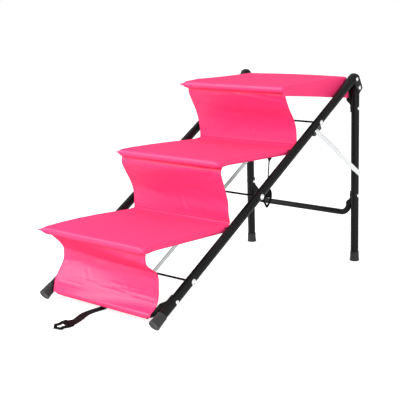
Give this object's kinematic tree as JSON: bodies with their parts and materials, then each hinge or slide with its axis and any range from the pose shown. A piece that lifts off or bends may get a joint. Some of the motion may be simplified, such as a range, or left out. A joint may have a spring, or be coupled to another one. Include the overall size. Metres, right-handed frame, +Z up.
{
  "type": "folding pet stairs",
  "caption": "Folding pet stairs: a black tube frame with hinged rear legs and folding stays carries fabric-covered treads that drop flat against the rails.",
  "frame": {"origin": "centre of the footprint at floor level, under the middle of the overall length without the straps", "axes": "+Z up, +Y along the floor in the direction the stairs climb, towards the rear legs, +X across to the side nearer the camera in the picture"},
  "size_m": [0.3998, 0.9605, 0.5249],
  "materials": {
    "frame_black": "satin black powder coat on steel tube",
    "rubber_grey": "matt dark grey moulded rubber",
    "cap_black": "fine-grained black moulded plastic",
    "bracket_black": "black painted pressed steel",
    "fabric_pink": "fine-woven bright pink polyester with a soft sheen",
    "board": "plain hardboard",
    "webbing_black": "ribbed black webbing",
    "link_zinc": "bright zinc-plated strip",
    "rivet_steel": "bright plated steel"
  },
  "bodies": {
    "frame": {"rail_left": "frame_black", "rail_right": "frame_black", "rail_foot_left": "rubber_grey", "rail_foot_right": "rubber_grey", "front_cross_bar": "frame_black", "cross_rod_1": "frame_black", "cross_rod_2": "frame_black", "cross_rod_3": "frame_black", "rod_washers": "rivet_steel", "tread_pins": "frame_black", "front_bar_rivets": "rivet_steel", "hinge_cap_left": "cap_black", "hinge_cap_right": "cap_black", "hinge_rivets": "rivet_steel", "stay_clip_left": "bracket_black", "stay_clip_right": "bracket_black", "stay_top_rivets": "rivet_steel", "riser_1": "fabric_pink", "riser_2": "fabric_pink", "riser_3": "fabric_pink", "front_strap": "webbing_black"},
    "legs": {"leg_left": "frame_black", "leg_right": "frame_black", "leg_foot_left": "rubber_grey", "leg_foot_right": "rubber_grey", "upper_cross_bar": "frame_black", "lower_cross_bar": "frame_black", "leg_rivets": "rivet_steel"},
    "tread_1": {"tread_frame_1": "frame_black", "tread_board_1": "board", "tread_cover_1": "fabric_pink"},
    "tread_2": {"tread_frame_2": "frame_black", "tread_board_2": "board", "tread_cover_2": "fabric_pink", "rear_strap": "webbing_black"},
    "tread_3": {"tread_frame_3": "frame_black", "tread_board_3": "board", "tread_cover_3": "fabric_pink", "top_gusset_left": "fabric_pink", "top_gusset_right": "fabric_pink"},
    "prop_1": {"prop_left_1": "bracket_black", "prop_right_1": "bracket_black", "link_pins_1": "rivet_steel"},
    "prop_2": {"prop_left_2": "bracket_black", "prop_right_2": "bracket_black", "link_pins_2": "rivet_steel"},
    "prop_3": {"prop_left_3": "bracket_black", "prop_right_3": "bracket_black", "link_pins_3": "rivet_steel"},
    "link_bars": {"link_bar_left": "link_zinc", "link_bar_right": "link_zinc"},
    "stay_upper": {"stay_upper_left": "link_zinc", "stay_upper_right": "link_zinc", "stay_mid_rivets": "rivet_steel"},
    "stay_lower": {"stay_lower_left": "link_zinc", "stay_lower_right": "link_zinc", "stay_low_rivets": "rivet_steel"}
  },
  "joints": [
    {"name": "tread_2_pivot", "type": "hinge", "parent": "frame", "child": "tread_2", "pos_m": [0, 0.10359, 0.33771], "axis": [1, 0, 0], "range_deg": [0, 29.2], "deforming": ["riser_2"]},
    {"name": "tread_1_pivot", "type": "hinge", "parent": "frame", "child": "tread_1", "pos_m": [0, -0.14608, 0.1789], "axis": [1, 0, 0], "range_deg": [0, 29.2], "deforming": ["riser_1"]},
    {"name": "tread_3_pivot", "type": "hinge", "parent": "frame", "child": "tread_3", "pos_m": [0, 0.35326, 0.49652], "axis": [1, 0, 0], "range_deg": [0, 29.2], "deforming": ["riser_3", "top_gusset_left", "top_gusset_right"]},
    {"name": "prop_1_pivot", "type": "hinge", "parent": "frame", "child": "prop_1", "pos_m": [0, -0.29036, 0.08712], "axis": [1, 0, 0], "range_deg": [0, 87]},
    {"name": "prop_2_pivot", "type": "hinge", "parent": "frame", "child": "prop_2", "pos_m": [0, -0.04069, 0.24593], "axis": [1, 0, 0], "range_deg": [0, 87]},
    {"name": "prop_3_pivot", "type": "hinge", "parent": "frame", "child": "prop_3", "pos_m": [0, 0.20898, 0.40474], "axis": [1, 0, 0], "range_deg": [0, 87]},
    {"name": "link_bar_pivot", "type": "hinge", "parent": "prop_2", "child": "link_bars", "pos_m": [0, -0.03472, 0.21888], "axis": [1, 0, 0], "range_deg": [-87, 0]},
    {"name": "leg_hinge", "type": "hinge", "parent": "frame", "child": "legs", "pos_m": [0, 0.38731, 0.48547], "axis": [-1, 0, 0], "range_deg": [0, 57.9], "deforming": ["rear_strap"]},
    {"name": "stay_upper_pivot", "type": "hinge", "parent": "frame", "child": "stay_upper", "pos_m": [0, 0.18431, 0.38372], "axis": [1, 0, 0], "range_deg": [0, 45.8]},
    {"name": "stay_middle_pivot", "type": "hinge", "parent": "stay_upper", "child": "stay_lower", "pos_m": [0, 0.29008, 0.31786], "axis": [1, 0, 0], "range_deg": [-164.7, 0]}
  ],
  "couplings": [
    {"joint": "tread_1_pivot", "follows": "tread_2_pivot", "ratio": 1},
    {"joint": "tread_3_pivot", "follows": "tread_2_pivot", "ratio": 1},
    {"joint": "prop_1_pivot", "follows": "tread_2_pivot", "ratio": 2.977},
    {"joint": "prop_2_pivot", "follows": "tread_2_pivot", "ratio": 2.977},
    {"joint": "prop_3_pivot", "follows": "tread_2_pivot", "ratio": 2.977},
    {"joint": "link_bar_pivot", "follows": "tread_2_pivot", "ratio": -2.977},
    {"joint": "stay_upper_pivot", "follows": "leg_hinge", "ratio": 0.7902},
    {"joint": "stay_middle_pivot", "follows": "leg_hinge", "ratio": -2.8435}
  ]
}
